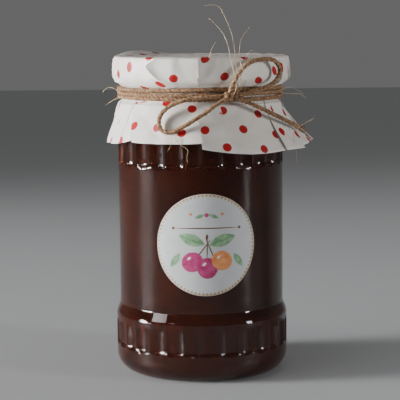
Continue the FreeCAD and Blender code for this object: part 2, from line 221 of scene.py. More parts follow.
def strands(bm, line, seed, taper=0.0):
    """Three strands twisted round a line. A taper lets them thin out and part at the far end."""
    frames = frames_along(line, STEP * MM)
    runs = []
    for strand in range(STRANDS):
        run = []
        for i, here in enumerate(frames):
            share = i / (len(frames) - 1)
            loose = max(0.0, share - 1 + taper) / taper if taper else 0.0
            turn = 2 * math.pi * (strand / STRANDS + i * STEP / TWIST_PITCH * (1 - 0.4 * loose))
            uneven = 1 + 0.16 * noise.noise(Vector((i * 0.21, strand * 9.1, seed)))
            off = STRAND_OFF * uneven * (1 + 2.2 * loose) * MM
            place = here @ Vector((off * math.cos(turn), off * math.sin(turn), 0))
            run.append((place, STRAND_R * uneven * (1 - 0.72 * loose)))
        runs.append(run)
    add_tubes(bm, runs, "POLY", 2)
    return frames


def fuzz(bm, frames, seed, count, reach):
    """Short fibres that leave the twine at a slant and curl back a little. reach is in mm."""
    chance = random.Random(seed)
    runs = []
    for _ in range(count):
        here = frames[int(len(frames) * chance.uniform(0.02, 0.98))]
        turn = chance.uniform(0, 2 * math.pi)
        out = here.to_3x3() @ Vector((math.cos(turn), math.sin(turn), 0))
        ahead = here.to_3x3() @ Vector((0, 0, chance.choice((-1, 1))))
        curl = Vector((chance.uniform(-1, 1), chance.uniform(-1, 1), chance.uniform(-1, 1)))
        far = chance.uniform(0.35, 1.0) * reach * MM
        root = here.translation + out * 0.7 * MM
        thick = chance.uniform(0.05, 0.09)
        runs.append([(root, thick), (root + ahead * far * 0.7 + out * far * 0.25, thick * 0.9),
                     (root + ahead * far * 1.3 + out * far * 0.6 + curl * far * 0.35, thick * 0.7),
                     (root + ahead * far * 1.5 + out * far * 0.9 + curl * far * 0.8, thick * 0.35)])
    add_tubes(bm, runs, "NURBS", 0, resolution=3)


# %% The bow's two loops and its tail
FIBRE_REACH = 1.3


def bow_cord(name, line, seed, taper, fibres, **facts):
    """One length of the bow's twine. Its facts as a cord are not used."""
    bm = bmesh.new()
    fuzz(bm, strands(bm, line, seed, taper), seed, fibres, FIBRE_REACH)
    piece = add_piece(name, bm, node=name.replace("bow", "twine"))
    return piece


loop_upper = bow_cord("bow_loop_upper", upper_line, 3, 0, 190,
                      exit=tuple(upper_line[0]), far_end="object", lay="loose")
loop_lower = bow_cord("bow_loop_lower", lower_line, 5, 0, 220,
                      exit=tuple(lower_line[0]), far_end="object", lay="loose")
tail = bow_cord("bow_tail", tail_line, 8, 0.22, 150,
                exit=tuple(tail_line[0]), far_end="bare", lay="loose")

# %% [markdown]
# ## The wound turns and the knot
#
# Three turns are wound tightly over the paper's gathered neck. They are the same twine on a long
# helix that wanders a little, because a hand never winds evenly, and they bunch up on the left.
# The knot is the twine wrapped across itself: a short, tight helix round the place where the
# loops cross.

# %% The wound turns
BAND_R = 40.5
BAND_Z = 140.3
BAND_TURNS = 3
BAND_PITCH = 2.25
BAND_START = 150                   # the azimuth where the twine starts, at the back
STEPS_PER_TURN = 48

wound = []
for i in range(BAND_TURNS * STEPS_PER_TURN + 1):
    turn = i / STEPS_PER_TURN
    azimuth = 360 * turn + BAND_START
    side = math.sin(math.radians(azimuth))
    pitch = BAND_PITCH * (1 - 0.25 * max(0.0, -side))
    wander = noise.noise(Vector((turn * 7.3, 1.7, 0)))
    wound.append(around(azimuth, BAND_R + 0.3 * noise.noise(Vector((turn * 11, 5, 2))),
                        BAND_Z - 0.35 * side + pitch * (turn - BAND_TURNS / 2) + 0.5 * wander))
band = bmesh.new()
fuzz(band, strands(band, spline_points(wound, 6), 21), 21, 900, 1.9)
wound_twine = add_piece("wound_twine", band, node="twine_band")

# %% The knot
KNOT_AZIMUTH = 19.5
WRAP_STEPS = 24                    # two and a half wraps of ten steps each
CORE_STEPS = 6
knot_middle = around(KNOT_AZIMUTH, BAND_OUTER_R + 2.6, KNOT_Z)
along = Vector((math.cos(math.radians(KNOT_AZIMUTH)), math.sin(math.radians(KNOT_AZIMUTH)), 0))
outwards = Vector((math.sin(math.radians(KNOT_AZIMUTH)), -math.cos(math.radians(KNOT_AZIMUTH)), 0))
upwards = Vector((0, 0, 1))

wraps = []
for i in range(WRAP_STEPS + 1):
    turn = 2 * math.pi * i / 10
    share = i / WRAP_STEPS - 0.5
    wraps.append(knot_middle + along * (5.6 * share) * MM + outwards * 1.75 * math.cos(turn) * MM
                 + upwards * (1.95 * math.sin(turn) + 1.4 * share) * MM)
knot = bmesh.new()
fuzz(knot, strands(knot, spline_points(wraps, 6), 33), 33, 60, 1.6)

core = []                          # the twine that the wraps go round
for i in range(CORE_STEPS + 1):
    share = i / CORE_STEPS - 0.5
    core.append(knot_middle + along * 9.0 * share * MM + upwards * 0.9 * math.sin(share * 5) * MM)
strands(knot, spline_points(core, 6), 35)
bow_knot = add_piece("bow_knot", knot, node="twine_knot")

# %% [markdown]
# ## Loose fibres
#
# A few long fibres have sprung out of the twine. Three stand up above the lid, and shorter ones
# curl out at both sides and hang below the hem. Each is a thin tube along a smooth line that
# gets thinner towards its end.

# %% The loose fibres
# Each point is (azimuth, distance off the wound band, height above the knot's middle).
TALL = (
    (20, 3.4, 1), (23.5, 7.6, 5), (21, 10.2, 10), (19, 9, 15.6), (20, 6.8, 22.6),
    (19, 4.3, 30.2), (16, 1.8, 37.3), (12, 0.2, 43.8), (3.5, -0.6, 42.3),
)
LEFT = (
    (20, 4, 0), (20.5, 8.6, 3.6), (18.5, 10.6, 9.2), (17, 9.2, 15.3), (16.5, 6.3, 23.3),
    (13.5, 3.8, 31.3), (5.5, 1.7, 36.8),
)
RIGHT = (
    (21, 3.2, 0.6), (26, 7.3, 4.6), (24.5, 10.1, 9.6), (22, 9.1, 15.2), (22, 7.6, 21.3),
    (24, 6.4, 27.6), (30, 6.4, 32.8),
)


def fibre_run(route, thick):
    """A route's points with a thickness that falls towards the end."""
    return [(on_route(*p), thick * (1 - 0.6 * i / len(route))) for i, p in enumerate(route)]


fibres = []
for name, route in (("fibre_tall", TALL), ("fibre_left", LEFT), ("fibre_right", RIGHT)):
    bm = bmesh.new()
    add_tubes(bm, [fibre_run(route, 0.22)], "NURBS", 1, resolution=8)
    fibres.append(add_piece(name, bm, node="twine_" + name))

# %% Short stray fibres
STRAYS = (
    ((6, 1.5, 18), (6.5, 3.4, 20.4), (8, 2.6, 23.4), (11, 0.6, 26)),
    ((29, 3, 17), (31, 3.6, 21), (35, 3.4, 21.4), (38, 2.6, 18.4)),
    ((-70, 0.2, 1), (-76, 3, 3.2), (-81, 5.4, 3), (-86, 7.4, 0.4)),
    ((-72, 0.4, -1.6), (-77, 3.6, -3.4), (-82, 6, -6)),
    ((70, 0.6, 1.4), (76, 4, 3), (80, 7, 1.4), (86, 10.6, -1.4)),
    ((72, 0.2, 0), (78, 5, -1.2), (84, 9, -0.6), (91, 12, -4)),
    ((74, 11, -18), (77, 13, -20.6), (76, 14, -22.8), (79, 15, -24)),
    ((71, 10.4, -16), (74, 13.6, -14.4), (80, 15.4, -13.6)),
    ((62, 11, -18), (66, 14.6, -13.6), (75, 16.8, -12.6)),
    ((-14, 8.6, -19), (-11, 10, -22.4), (-6, 9, -24.6), (-8, 8, -28.4), (-7, 8.4, -31)),
    ((-15, 8.6, -19), (-15.6, 9.6, -23), (-18, 9, -25.4)),
    ((58, 11.4, -19), (60, 12, -26), (61, 12, -33), (61.6, 12.6, -36)),
)
strays = bmesh.new()
add_tubes(strays, [fibre_run(route, 0.14) for route in STRAYS], "NURBS", 1, resolution=6)
fibres.append(add_piece("stray_fibres", strays))

# %% [markdown]
# ## The glass
#
# The jar is a turned shape, so its outline is spun round the axis: up the outside, over the rim
# and down the inside. Two rings of flutes are pressed into the outside. Cutting thirty bars out
# of the glass would leave long thin faces that shade badly. Instead the spun wall is dense, and
# each of its points moves in by the depth that a round bar would press there.

# %% The jar's outline
# Each corner is (radius, height, rounding). The wall has extra points where the flutes start and end.
OUTSIDE = (
    (0, 0, 0), (43.3, 0, 9), (43.3, 12, 0), (43.3, 28, 0), (43.3, 29.4, 1.3), (43.0, 30.4, 0.7),
    (41.4, 34.6, 1.6), (41.4, 103.2, 0), (41.4, 121.2, 0), (38, 134.5, 4), (38, 144.9, 0.5),
    (40.3, 146.05, 0.5), (40.3, 156.8, 1.2),
)
INSIDE = (
    (35.4, 156.8, 1.0), (35.4, 134.5, 3), (38.5, 121.5, 3), (38.5, 36, 2), (39.6, 30, 2),
    (39.6, 3.4, 6.2), (0, 3.4, 0),
)
FLUTED = ((43.3, 13.2, 27.2), (41.4, 104.4, 120.5))    # (radius of the wall, low end, high end)


def rounded_outline(bm, corners, arc_steps=8):
    """Verts and edges along an outline in the plane y = 0, its corners rounded."""
    points = [Vector((r, 0, z)) for r, z, _ in corners]
    places = []
    for i, (here, (_, _, rounding)) in enumerate(zip(points, corners)):
        if rounding == 0:
            places.append(here)
            continue
        back = (points[i - 1] - here).normalized()
        on = (points[i + 1] - here).normalized()
        half = back.angle(on) / 2
        centre = here + (back + on).normalized() * rounding / math.sin(half)
        reach = rounding / math.tan(half)
        start = here + back * reach - centre
        end = here + on * reach - centre
        places += [centre + start.slerp(end, k / arc_steps) * rounding for k in range(arc_steps + 1)]
    verts = [bm.verts.new(place * MM) for place in places]
    return [bm.edges.new(pair) for pair in zip(verts, verts[1:])]


def spin_outline(bm, steps):
    """Turns the outline into a closed solid wall, its faces pointing outwards."""
    bmesh.ops.spin(bm, geom=list(bm.verts) + list(bm.edges), cent=(0, 0, 0), axis=(0, 0, 1),
                   angle=2 * math.pi, steps=steps, use_merge=True)
    bmesh.ops.remove_doubles(bm, verts=bm.verts, dist=1e-6)
    bmesh.ops.recalc_face_normals(bm, faces=bm.faces)
    print(f"spun: {len(bm.faces)} faces, {bm.calc_volume() * 1e6:.1f} cm3")


# %% Spin the outline
jar = bmesh.new()
outline = rounded_outline(jar, OUTSIDE + INSIDE)
for radius, low, high in FLUTED:
    wall = [edge for edge in outline if edge.is_valid
            and all(abs(v.co.x / MM - radius) < 0.01 and low - 2 < v.co.z / MM < high + 1
                    for v in edge.verts)]
    bmesh.ops.subdivide_edges(jar, edges=wall, cuts=44)
spin_outline(jar, 360)

# %% Press the flutes
FLUTES = 30
FLUTE_DEPTH = 1.3
FLUTE_END_R = 2.6
FLUTE_TURN = 6                     # how far the flutes are turned from the front, in degrees


def flute_depth(azimuth, height, radius, low, high):
    """How far a round-ended bar presses the wall in at a place, in mm."""
    half = math.pi / FLUTES
    beside = ((math.radians(azimuth) + half) % (2 * half)) - half
    ridge = radius * math.cos(half) - (radius - FLUTE_DEPTH)
    bar = (ridge ** 2 + (radius * math.sin(half)) ** 2) / (2 * ridge)
    from_end = min(height - low, high - height)
    if from_end <= 0:
        return 0.0
    if from_end < FLUTE_END_R:
        bar_now = bar - FLUTE_END_R + math.sqrt(FLUTE_END_R ** 2 - (FLUTE_END_R - from_end) ** 2)
    else:
        bar_now = bar
    centre = radius - FLUTE_DEPTH + bar
    sideways = centre * math.sin(beside)
    if abs(sideways) >= bar_now:
        return 0.0
    face = centre * math.cos(beside) - math.sqrt(bar_now ** 2 - sideways ** 2)
    return max(0.0, radius - face)


pressed = 0
for v in jar.verts:
    r = math.hypot(v.co.x, v.co.y) / MM
    azimuth = math.degrees(math.atan2(v.co.x, -v.co.y))
    for radius, low, high in FLUTED:
        if abs(r - radius) < 0.02 and low < v.co.z / MM < high:
            depth = flute_depth(azimuth + FLUTE_TURN, v.co.z / MM, radius, low, high)
            if depth > 0:
                v.co.x *= (r - depth) / r
                v.co.y *= (r - depth) / r
                pressed += 1
print("points pressed in:", pressed)
jar_glass = add_piece("jar_glass", jar, node="jar", sharp=25)

# %% [markdown]
# ## The jelly
#
# Jelly fills the jar to just under the rim. Where a filling touches glass there is no air, so its
# surface is made to reach a tenth of a millimetre into the wall. That way light goes straight
# from glass to jelly and no false mirror shows between them.

# %% The jelly
JELLY = (
    (0, 3.3, 0), (39.7, 3.3, 6.3), (39.7, 30, 2), (38.6, 36, 2), (38.6, 121.5, 3), (35.5, 134.5, 3),
    (35.5, 147, 1.5), (0, 147, 0),
)
jelly = bmesh.new()
rounded_outline(jelly, JELLY)
spin_outline(jelly, 180)
jelly_piece = add_piece("jelly_fill", jelly, node="jelly")

# %% [markdown]
# ## The label
#
# The label is a round of paper stuck to the body. It starts as a flat disc, turned from a line of
# points so that it has rings and spokes, and each point is then wrapped round the body: its
# sideways distance becomes an angle. The print is made the same way, from flat discs, leaves and
# lines a few hundredths of a millimetre proud of the paper.

# %% Wrapping round the body
LABEL_R = 24.8
LABEL_Z = 68.6
LABEL_AZIMUTH = 3.6
LABEL_SKIN_R = 41.4


def wrap(bm, proud):
    """Wraps a flat design, in mm with y upwards, round the body at the label's place."""
    for v in bm.verts:
        x, y, z = v.co
        radius = LABEL_SKIN_R + proud + z
        azimuth = LABEL_AZIMUTH + math.degrees(x / LABEL_SKIN_R)
        v.co = around(azimuth, radius, LABEL_Z + y)


def spin_line(bm, verts, spokes):
    """Joins points in the plane y = 0 with a line and turns it round z into a flat shape."""
    line = [bm.edges.new(pair) for pair in zip(verts, verts[1:])]
    bmesh.ops.spin(bm, geom=verts + line, cent=(0, 0, 0), axis=(0, 0, 1),
                   angle=2 * math.pi, steps=spokes, use_merge=True)


def disc(bm, radius, rings, spokes):
    """A flat round disc with rings and spokes."""
    spin_line(bm, [bm.verts.new((radius * k / rings, 0, 0)) for k in range(rings + 1)], spokes)


# %% The label's paper
label = bmesh.new()
disc(label, LABEL_R, 16, 120)
bmesh.ops.remove_doubles(label, verts=label.verts, dist=1e-4)
bmesh.ops.recalc_face_normals(label, faces=label.faces)
if sum(f.normal.z for f in label.faces) < 0:
    bmesh.ops.reverse_faces(label, faces=label.faces)
wrap(label, 0.2)
label_piece = add_piece("label_disc", label, node="label")
label_wall = label_piece.modifiers.new("paper thickness", "SOLIDIFY")
label_wall.thickness = 0.14 * MM
label_wall.offset = -1

# %% [markdown]
# ## The label's print
#
# The print is a made-up sprig: three round fruits on brown stalks with four green leaves, and
# above them a dark line and a smaller sprig. A thin gold ring and a ring of gold dots go round the
# edge. Every shape is one flat circle that is stretched, pointed if it is a leaf, turned and
# moved. A single fan of faces would sink below the curved paper, so the circles have rings too.
# Each colour is one piece, a few hundredths of a millimetre above the paper, so nothing flickers.


# %% Shapes of the print
def blob(bm, centre, half_long, half_wide, angle=0.0, pointed=False, rings=5, spokes=32):
    """One flat ellipse, or a leaf if pointed, in mm on the label's flat face."""
    old = set(bm.verts)
    disc(bm, 1.0, rings, spokes)
    made = [v for v in bm.verts if v not in old]
    if pointed:
        for v in made:
            v.co.y *= math.sqrt(max(0.0, 1 - v.co.x ** 2))
    place = (Matrix.Translation((*centre, 0)) @ Matrix.Rotation(math.radians(angle), 4, "Z")
             @ Matrix.Diagonal((half_long, half_wide, 1, 1)))
    bmesh.ops.transform(bm, matrix=place, verts=made)


def print_piece(name, shapes, proud):
    """One colour of the print, wrapped onto the label."""
    bm = bmesh.new()
    for shape in shapes:
        blob(bm, *shape)
    bmesh.ops.remove_doubles(bm, verts=bm.verts, dist=1e-4)
    bm.normal_update()
    bmesh.ops.reverse_faces(bm, faces=[face for face in bm.faces if face.normal.z < 0])
    wrap(bm, proud)
    return add_piece(name, bm)


# Each shape is (centre, half its length, half its width, turn, pointed, rings, spokes), in mm.
DOT_RING_R = 23.85
GOLD_DOTS = [((DOT_RING_R * math.cos(a), DOT_RING_R * math.sin(a)), 0.5, 0.5, 0, False, 1, 8)
             for a in (2 * math.pi * i / 80 for i in range(80))]
GOLD_RING = (24.25, 24.5)          # its inner and outer radius
STALKS = [((-2.0, -2.2), 6.4, 0.26, 52), ((1.7, -2.0), 5.8, 0.26, 112), ((0.2, -1.4), 4.8, 0.26, 88),
          ((0.1, 4.0), 1.3, 0.6, 85), ((0, 8.2), 15.5, 0.3, 0), ((-16.2, 8.2), 0.8, 0.7),
          ((16.2, 8.2), 0.8, 0.7)]
LEAVES = [((-7.2, 2.6), 6.6, 2.9, 160, True), ((7.6, 2.2), 6.8, 2.9, 18, True),
          ((-15.4, -7.4), 4.2, 1.6, 235, True), ((15.6, -7.6), 4.2, 1.6, -55, True),
          ((-3.4, 14.0), 2.6, 0.9, 20, True), ((3.4, 14.0), 2.6, 0.9, 160, True)]
LEAF_VEINS = [((-7.2, 2.6), 5.6, 0.16, 160), ((7.6, 2.2), 5.8, 0.16, 18)]
PLUMS = [((-7.0, -8.2), 5.2, 4.8, 20), ((0.3, -11.2), 4.9, 5.1, 0), ((0, 14.6), 1.0, 1.0)]
APRICOTS = [((7.3, -7.6), 5.1, 4.7, -20), ((-7.6, 15.0), 0.7, 0.7), ((7.6, 15.0), 0.7, 0.7)]
SHINES = [((-8.6, -6.4), 1.1, 0.6, 40), ((-1.2, -9.2), 1.1, 0.6, 40), ((5.7, -5.8), 1.1, 0.6, 40)]
gold_dots = print_piece("print_gold_dots", GOLD_DOTS, 0.22)
leaves = print_piece("print_leaves", LEAVES, 0.22)
veins = print_piece("print_veins", LEAF_VEINS, 0.24)
stalks = print_piece("print_stalks", STALKS, 0.24)
plums = print_piece("print_plums", PLUMS, 0.26)
apricots = print_piece("print_apricots", APRICOTS, 0.27)
shines = print_piece("print_shines", SHINES, 0.29)
ring = bmesh.new()
spin_line(ring, [ring.verts.new((radius, 0, 0)) for radius in GOLD_RING], 120)
wrap(ring, 0.22)
gold_ring = add_piece("print_gold_ring", ring)

# %% [markdown]
# ## The paper cover
#
# The cover is a flat round of printed paper laid over the lid and tied below it. Round the lid
# there is too much paper for the smaller neck, so it lies in folds: each panel's left edge lies
# on top of the panel beside it, and a strip of paper runs back and forth underneath. A cloth
# simulation would give soft ripples, and paper has flat panels and sharp folds. So a grid of
# points is laid out as the paper really goes: along the top of a panel, on under its neighbour,
# back, and out again as the next panel. Each point keeps its place on the flat disc, and that
# place is its UV, so the printed dots stay round and break off at the folds as real ones do.

# %% The cover's shape
# Down the middle of a panel: (distance from the disc's middle, radius, height).
COVER_PROFILE = (
    (0, 0, 158.15), (14, 14, 158.0), (28, 28, 158.0), (36, 36.1, 158.1), (40.4, 40.8, 158.3),
    (41.9, 42.5, 158.3), (43.0, 43.7, 158.1), (43.8, 44.4, 157.4), (46.2, 44.8, 154.6),
    (49.2, 45.0, 150.9), (52.6, 44.9, 147.9), (54.6, 44.1, 146.2), (57.8, 41.6, 144.2),
    (60.0, 39.5, 143.3), (64.0, 39.1, 139.8), (67.0, 39.1, 137.2), (68.2, 39.6, 136.3),
    (70.0, 41.0, 135.3),
)
SKIRT_TOP = 70.0                   # how far the skirt starts from the disc's middle
NECK_R = 39.1
BAND_LOW = 136.8
LID_CLEAR_R = 42.55                # the paper stays outside the lid
UV_SPAN = 200.0                    # the flat disc's UV covers a square this wide
SKIRT_SPREAD = 13.0
SKIRT_SWAY = 4.0
# A fold's azimuth on the drum at its top, high, low and bottom, and on the skirt at its top and
# hem; the slope from the twine to the hem at its panel's start, middle and end; and how far the
# fold's edge lifts off the paper below it on the drum and at the hem. All lengths are in mm.
FOLDS = (
    (-100, -100, -100, -100, -104, -104, 23.4, 22.8, 22.4, 0.3, 0.4),
    (-82, -82, -80, -80, -82, -86, 23.2, 22.8, 22.0, 0.2, 0.4),
    (-64, -62, -60, -60, -62, -68, 22.8, 22.2, 20.4, 0.2, 0.5),
    (-27, -34, -28, -20, -52, -42, 21.4, 22.2, 22.6, 2.0, 0.6),
    (-1, -1, -1, -1, -2, 1, 24.7, 28.0, 28.2, 0.35, 0.5),
    (60, 61, 62, 62, 50, 49, 28.1, 27.6, 27.2, 0.2, 0.0),
    (84, 84, 84, 84, 82, 86, 26.6, 25.7, 25.1, 0.3, 0.5),
    (120, 120, 120, 120, 120, 120, 25.4, 25.6, 25.2, 0.3, 0.6),
    (156, 156, 156, 156, 156, 156, 25.6, 25.2, 24.7, 0.3, 0.6),
    (190, 190, 190, 190, 190, 190, 25.3, 25.1, 24.6, 0.3, 0.6),
    (226, 226, 226, 226, 226, 226, 25.1, 24.6, 23.6, 0.3, 0.6),
)
CENTRES = (-91, -74, -47, -16, 26, 70, 102, 138, 173, 208, 243)    # where a panel's paper lies true
DRUM_CREASES = (-100, -82, -63, -49, -31, -17, -1, 24, 44, 62, 84, 120, 156, 190, 226)
SKIRT_CREASES = (-104, -84, -65, -44, -20, 1, 27, 50, 64, 84, 120, 156, 190, 226)
# How each panel's print is turned, in degrees, and slid, in mm, on the drum and on the skirt.
STRAIGHT = (0, 0, 0, 0, 0, 0)
PRINTS = (
    STRAIGHT, (0, 0, 0, -8, -0.6, -1.2), (-4, 3.6, -2.4, -16, -1.2, -2.4),
    (-12, -3.6, -2.4, 4, -2.4, -3.6), (0, 0, 0, 0, -3.6, -1.2), (0, 2.4, -4.8, 12, 4.8, -1.2),
    STRAIGHT, STRAIGHT, STRAIGHT, STRAIGHT, STRAIGHT,
)


def lerp(a, b, share):
    return a + (b - a) * share


def eased(value, low, high):
    share = min(1.0, max(0.0, (value - low) / (high - low)))
    return share * share * (3 - 2 * share)


def profile_at(way):
    """Radius and height at a distance from the disc's middle, down to the skirt's top."""
    for (w0, r0, z0), (w1, r1, z1) in zip(COVER_PROFILE, COVER_PROFILE[1:]):
        if way <= w1:
            share = (way - w0) / (w1 - w0)
            return lerp(r0, r1, share), lerp(z0, z1, share)
    return COVER_PROFILE[-1][1:]


def fold_azimuth(k, way, down):
    """Where fold k runs at a distance from the middle; down is the share of the way down the skirt."""
    top, high, low, bottom, skirt, hem = FOLDS[k % len(FOLDS)][:6]
    turns = 360 * (k // len(FOLDS))
    if down > 0:
        return lerp(skirt, hem, down) + turns
    stops = ((42.5, top), (46.5, high), (50.8, low), (57, bottom), (SKIRT_TOP, skirt))
    for (w0, a0), (w1, a1) in zip(stops, stops[1:]):
        if way <= w1:
            return lerp(a0, a1, max(0.0, (way - w0) / (w1 - w0))) + turns
    return skirt + turns


def flattened(azimuth, creases, flat):
    """A share of the radius: 1 at a crease and less between two, as on a flat facet."""
    for a, b in zip(creases, creases[1:] + (creases[0] + 360,)):
        if a <= azimuth < b or a <= azimuth + 360 < b or a <= azimuth - 360 < b:
            half = math.radians(b - a) / 2
            beside = math.radians((azimuth - (a + b) / 2 + 180) % 360 - 180)
            return 1 - flat * (1 - math.cos(half) / math.cos(beside))
    return 1.0


def crumple(flat_x, flat_y):
    """Height of the paper's small facets and dents at a place on the flat disc, in mm."""
    cells = noise.voronoi(Vector((flat_x / 14, flat_y / 14, 3.3)))[0]
    return 1.2 * (cells[1] - cells[0]) + 0.55 * noise.noise(Vector((flat_x / 9, flat_y / 9, 8)))


def hump(azimuth, middle, width):
    """1 at an azimuth, falling to 0 on both sides of it."""
    beside = (azimuth - middle + 180) % 360 - 180
    return math.exp(-(beside / width) ** 2)


# %% Rows and columns of the grid
ROWS = [(w, 0.0) for w in (0, 7, 14, 21, 28, 33, 37, 39.5, 40.8, 41.6, 42.2, 42.7, 43.2, 43.7)]
ROWS += [(43.8 + 1.05 * i, 0.0) for i in range(1, 15)]
ROWS += [(59.2 + 1.35 * i, 0.0) for i in range(8)] + [(SKIRT_TOP, 0.0)]
ROWS += [(SKIRT_TOP, (i + 1) / 22) for i in range(22)]
COLUMNS = []                       # (fold, part of the pleat, share of that part)
for k in range(len(FOLDS)):
    wide = (FOLDS[(k + 1) % len(FOLDS)][5] - FOLDS[k][5]) % 360
    count = max(10, round(wide / 1.4))
    COLUMNS += [(k, "top", i / count) for i in range(count + 1)]
    COLUMNS += [(k, "under", (i + 1) / 6) for i in range(6)]
    COLUMNS += [(k, "back", i / 6) for i in range(7)]
print(len(ROWS), "rows,", len(COLUMNS), "columns")


def slope_at(k, share):
    """How far it is down the skirt from the twine to the hem."""
    start, middle, end = FOLDS[k % len(FOLDS)][6:9]
    return ((1 - share) * (1 - 2 * share) * start + 4 * share * (1 - share) * middle
            + share * (2 * share - 1) * end)


def skirt_spread(azimuth):
    """How far the hem stands out past the neck. The skirt leans out more on the right."""
    return SKIRT_SPREAD + SKIRT_SWAY * math.sin(math.radians(azimuth))


def skirt_radius(azimuth, drop, slope):
    """The skirt's radius at an azimuth, a drop below the twine, on paper of that slope's length."""
    spread = skirt_spread(azimuth)
    share_down = drop / math.sqrt(slope ** 2 - spread ** 2)
    bell = 1.16 + 0.2 * math.sin(math.radians(azimuth))
    return lerp(COVER_PROFILE[-1][1], NECK_R + spread, share_down ** bell)


def print_place(panel, way, flat):
    """Where the print of a place on the flat disc is read, with the panel's turn and slide."""
    turn, slide_x, slide_y, turn_low, low_x, low_y = PRINTS[panel]
    upper = eased(way, 30, 43.5) * (1 - eased(way, 58, 66))
    lower = eased(way, 58, 66)
    turned = flat + math.radians(turn * upper + turn_low * lower)
    return (way * math.sin(turned) + slide_x * upper + low_x * lower,
            way * math.cos(turned) + slide_y * upper + low_y * lower)


def with_relief(azimuth, radius, height, row, true_flat, sunk, lift):
    """The paper's facets, dents and raised corner. sunk is the depth under the top layer."""
    way, down = row
    dents = crumple(way * math.sin(true_flat), way * math.cos(true_flat))
    neck = max(0.0, 1 - abs(way - 63.5) / 7.5)
    if way > 42:
        drum = flattened(azimuth, DRUM_CREASES, 0.75) if way < 57 else 1.0
        skirt = flattened(azimuth, SKIRT_CREASES, 0.5 * down) if down > 0 else 1.0
        ease = min(1.0, (way - 42) / 2)
        radius *= lerp(1.0, drum, ease * (1 - neck)) * skirt
        radius += dents * (1 - neck) * ease * (0.75 + 0.3 * down) - sunk + lift
        radius -= 1.5 * hump(azimuth, -90, 40) * ease * (1 - eased(way, 57, 62) * (1 - down))
        if way < 56:
            radius = max(radius, LID_CLEAR_R)
    else:
        height += 0.35 * dents * min(1.0, way / 20)
    height += 2.0 * hump(azimuth, -128, 22) * eased(way, 30, 42) * (1 - eased(way, 43, 52))
    return radius, height


def paper_point(row, column):
    """The place of one grid point in the scene, and its place on the flat disc in mm."""
    way, down = row
    k, part, share = column
    after = (k + 1) % len(FOLDS)
    here = fold_azimuth(k, way, down)
    there = fold_azimuth(k + 1, way, down)
    slope = slope_at(k, share if part == "top" else 1.0)
    if part == "back":
        slope = lerp(slope_at(k, 1.0), slope_at(after, 0.0), share)
    if down > 0:
        middle = lerp(here, there, share if part == "top" else 1.0)
        drop = math.sqrt(slope ** 2 - skirt_spread(middle) ** 2) * down
        radius = skirt_radius(middle, drop, slope)
        height = lerp(COVER_PROFILE[-1][2], BAND_LOW, down) - drop
        way = SKIRT_TOP + down * (slope - 2.2)
    else:
        radius, height = profile_at(way)

    # The paper that is too much at this radius is hidden under the next panel, in two layers.
    scale = radius / way if way > 1 else 1.0
    gap = CENTRES[after] - CENTRES[k] + (360 if after == 0 else 0)
    hidden = gap * max(0.0, 1 / scale - 1) / 2 if way > 40 else 0.0
    layer = min(1.0, hidden / 1.5) * (0.24 + 0.22 * down)
    lift = 0.0
    if part == "top":
        azimuth = lerp(here, there, share)
        turned_by = azimuth - CENTRES[k]
        under = 2 * share
        drum_edge = FOLDS[k][9] * eased(way, 43, 46) * (1 - eased(way, 50, 57))
        edge = FOLDS[k][10] * down if down > 0 else drum_edge
        lift = edge * math.exp(-(azimuth - here) / 3.5)
    elif part == "under":
        azimuth = there + share * hidden
        turned_by = azimuth - CENTRES[k]
        under = 2
    else:
        azimuth = there + (1 - share) * hidden
        turned_by = there + (1 + share) * hidden - CENTRES[k]
        under = 1
    on_top = k if part == "top" else after
    flat = math.radians(CENTRES[k] + scale * turned_by)
    true_flat = flat
    if part != "top":
        # A hidden layer takes the shape of the panel above it, so that it doesn't poke through.
        if down > 0:
            across = (azimuth - there) / (fold_azimuth(k + 2, way, down) - there)
            radius = skirt_radius(azimuth, drop, slope_at(after, min(1.0, across)))
        base = CENTRES[after] + (360 if after == 0 else 0)
        true_flat = math.radians(base + scale * (azimuth - base))
    radius, height = with_relief(azimuth, radius, height, (way, down), true_flat, layer * under, lift)
    return around(azimuth, radius, height), print_place(on_top, way, flat)


# %% Fold the paper
cover = bmesh.new()
grid = bmesh.ops.create_grid(cover, x_segments=len(COLUMNS), y_segments=len(ROWS) - 1, size=1)["verts"]
flat_place = {}
for v in grid:
    column = round((v.co.x + 1) / 2 * len(COLUMNS)) % len(COLUMNS)
    row = round((1 - v.co.y) / 2 * (len(ROWS) - 1))
    v.co, flat_place[v] = paper_point(ROWS[row], COLUMNS[column])
uv = cover.loops.layers.uv.new("flat_disc")
for face in cover.faces:
    for loop in face.loops:
        x, y = flat_place[loop.vert]
        loop[uv].uv = (x / UV_SPAN + 0.5, y / UV_SPAN + 0.5)
bmesh.ops.remove_doubles(cover, verts=cover.verts, dist=2e-6)
bmesh.ops.dissolve_degenerate(cover, edges=cover.edges, dist=1e-6)
cover.normal_update()
if sum(f.normal.z * f.calc_area() for f in cover.faces if f.calc_center_median().z > 0.1575) < 0:
    bmesh.ops.reverse_faces(cover, faces=cover.faces)
cover_piece = add_piece("paper_cover", cover, node="cover", sharp=24)
paper_wall = cover_piece.modifiers.new("paper thickness", "SOLIDIFY")
paper_wall.thickness = 0.16 * MM
paper_wall.offset = -1
paper_wall.material_offset = 1
paper_wall.material_offset_rim = 1

# %% [markdown]
# ## Materials
#
# Every finish is made of shader nodes. One helper makes a material with a Principled shader, one
# mottles its colour and one roughens its surface. The patterns read the pieces' own Object
# coordinates, or the flat disc's UV for the dots.


# %% Helpers for materials
def new_material(name, colour, roughness, **values):
    material = bpy.data.materials.new(name)
    material.use_nodes = True
    nodes = material.node_tree.nodes
    shader = nodes["Principled BSDF"]
    shader.inputs["Base Color"].default_value = (*colour, 1)
    shader.inputs["Roughness"].default_value = roughness
    for key, value in values.items():
        shader.inputs[key.replace("_", " ")].default_value = value
    return material, nodes, material.node_tree.links, shader


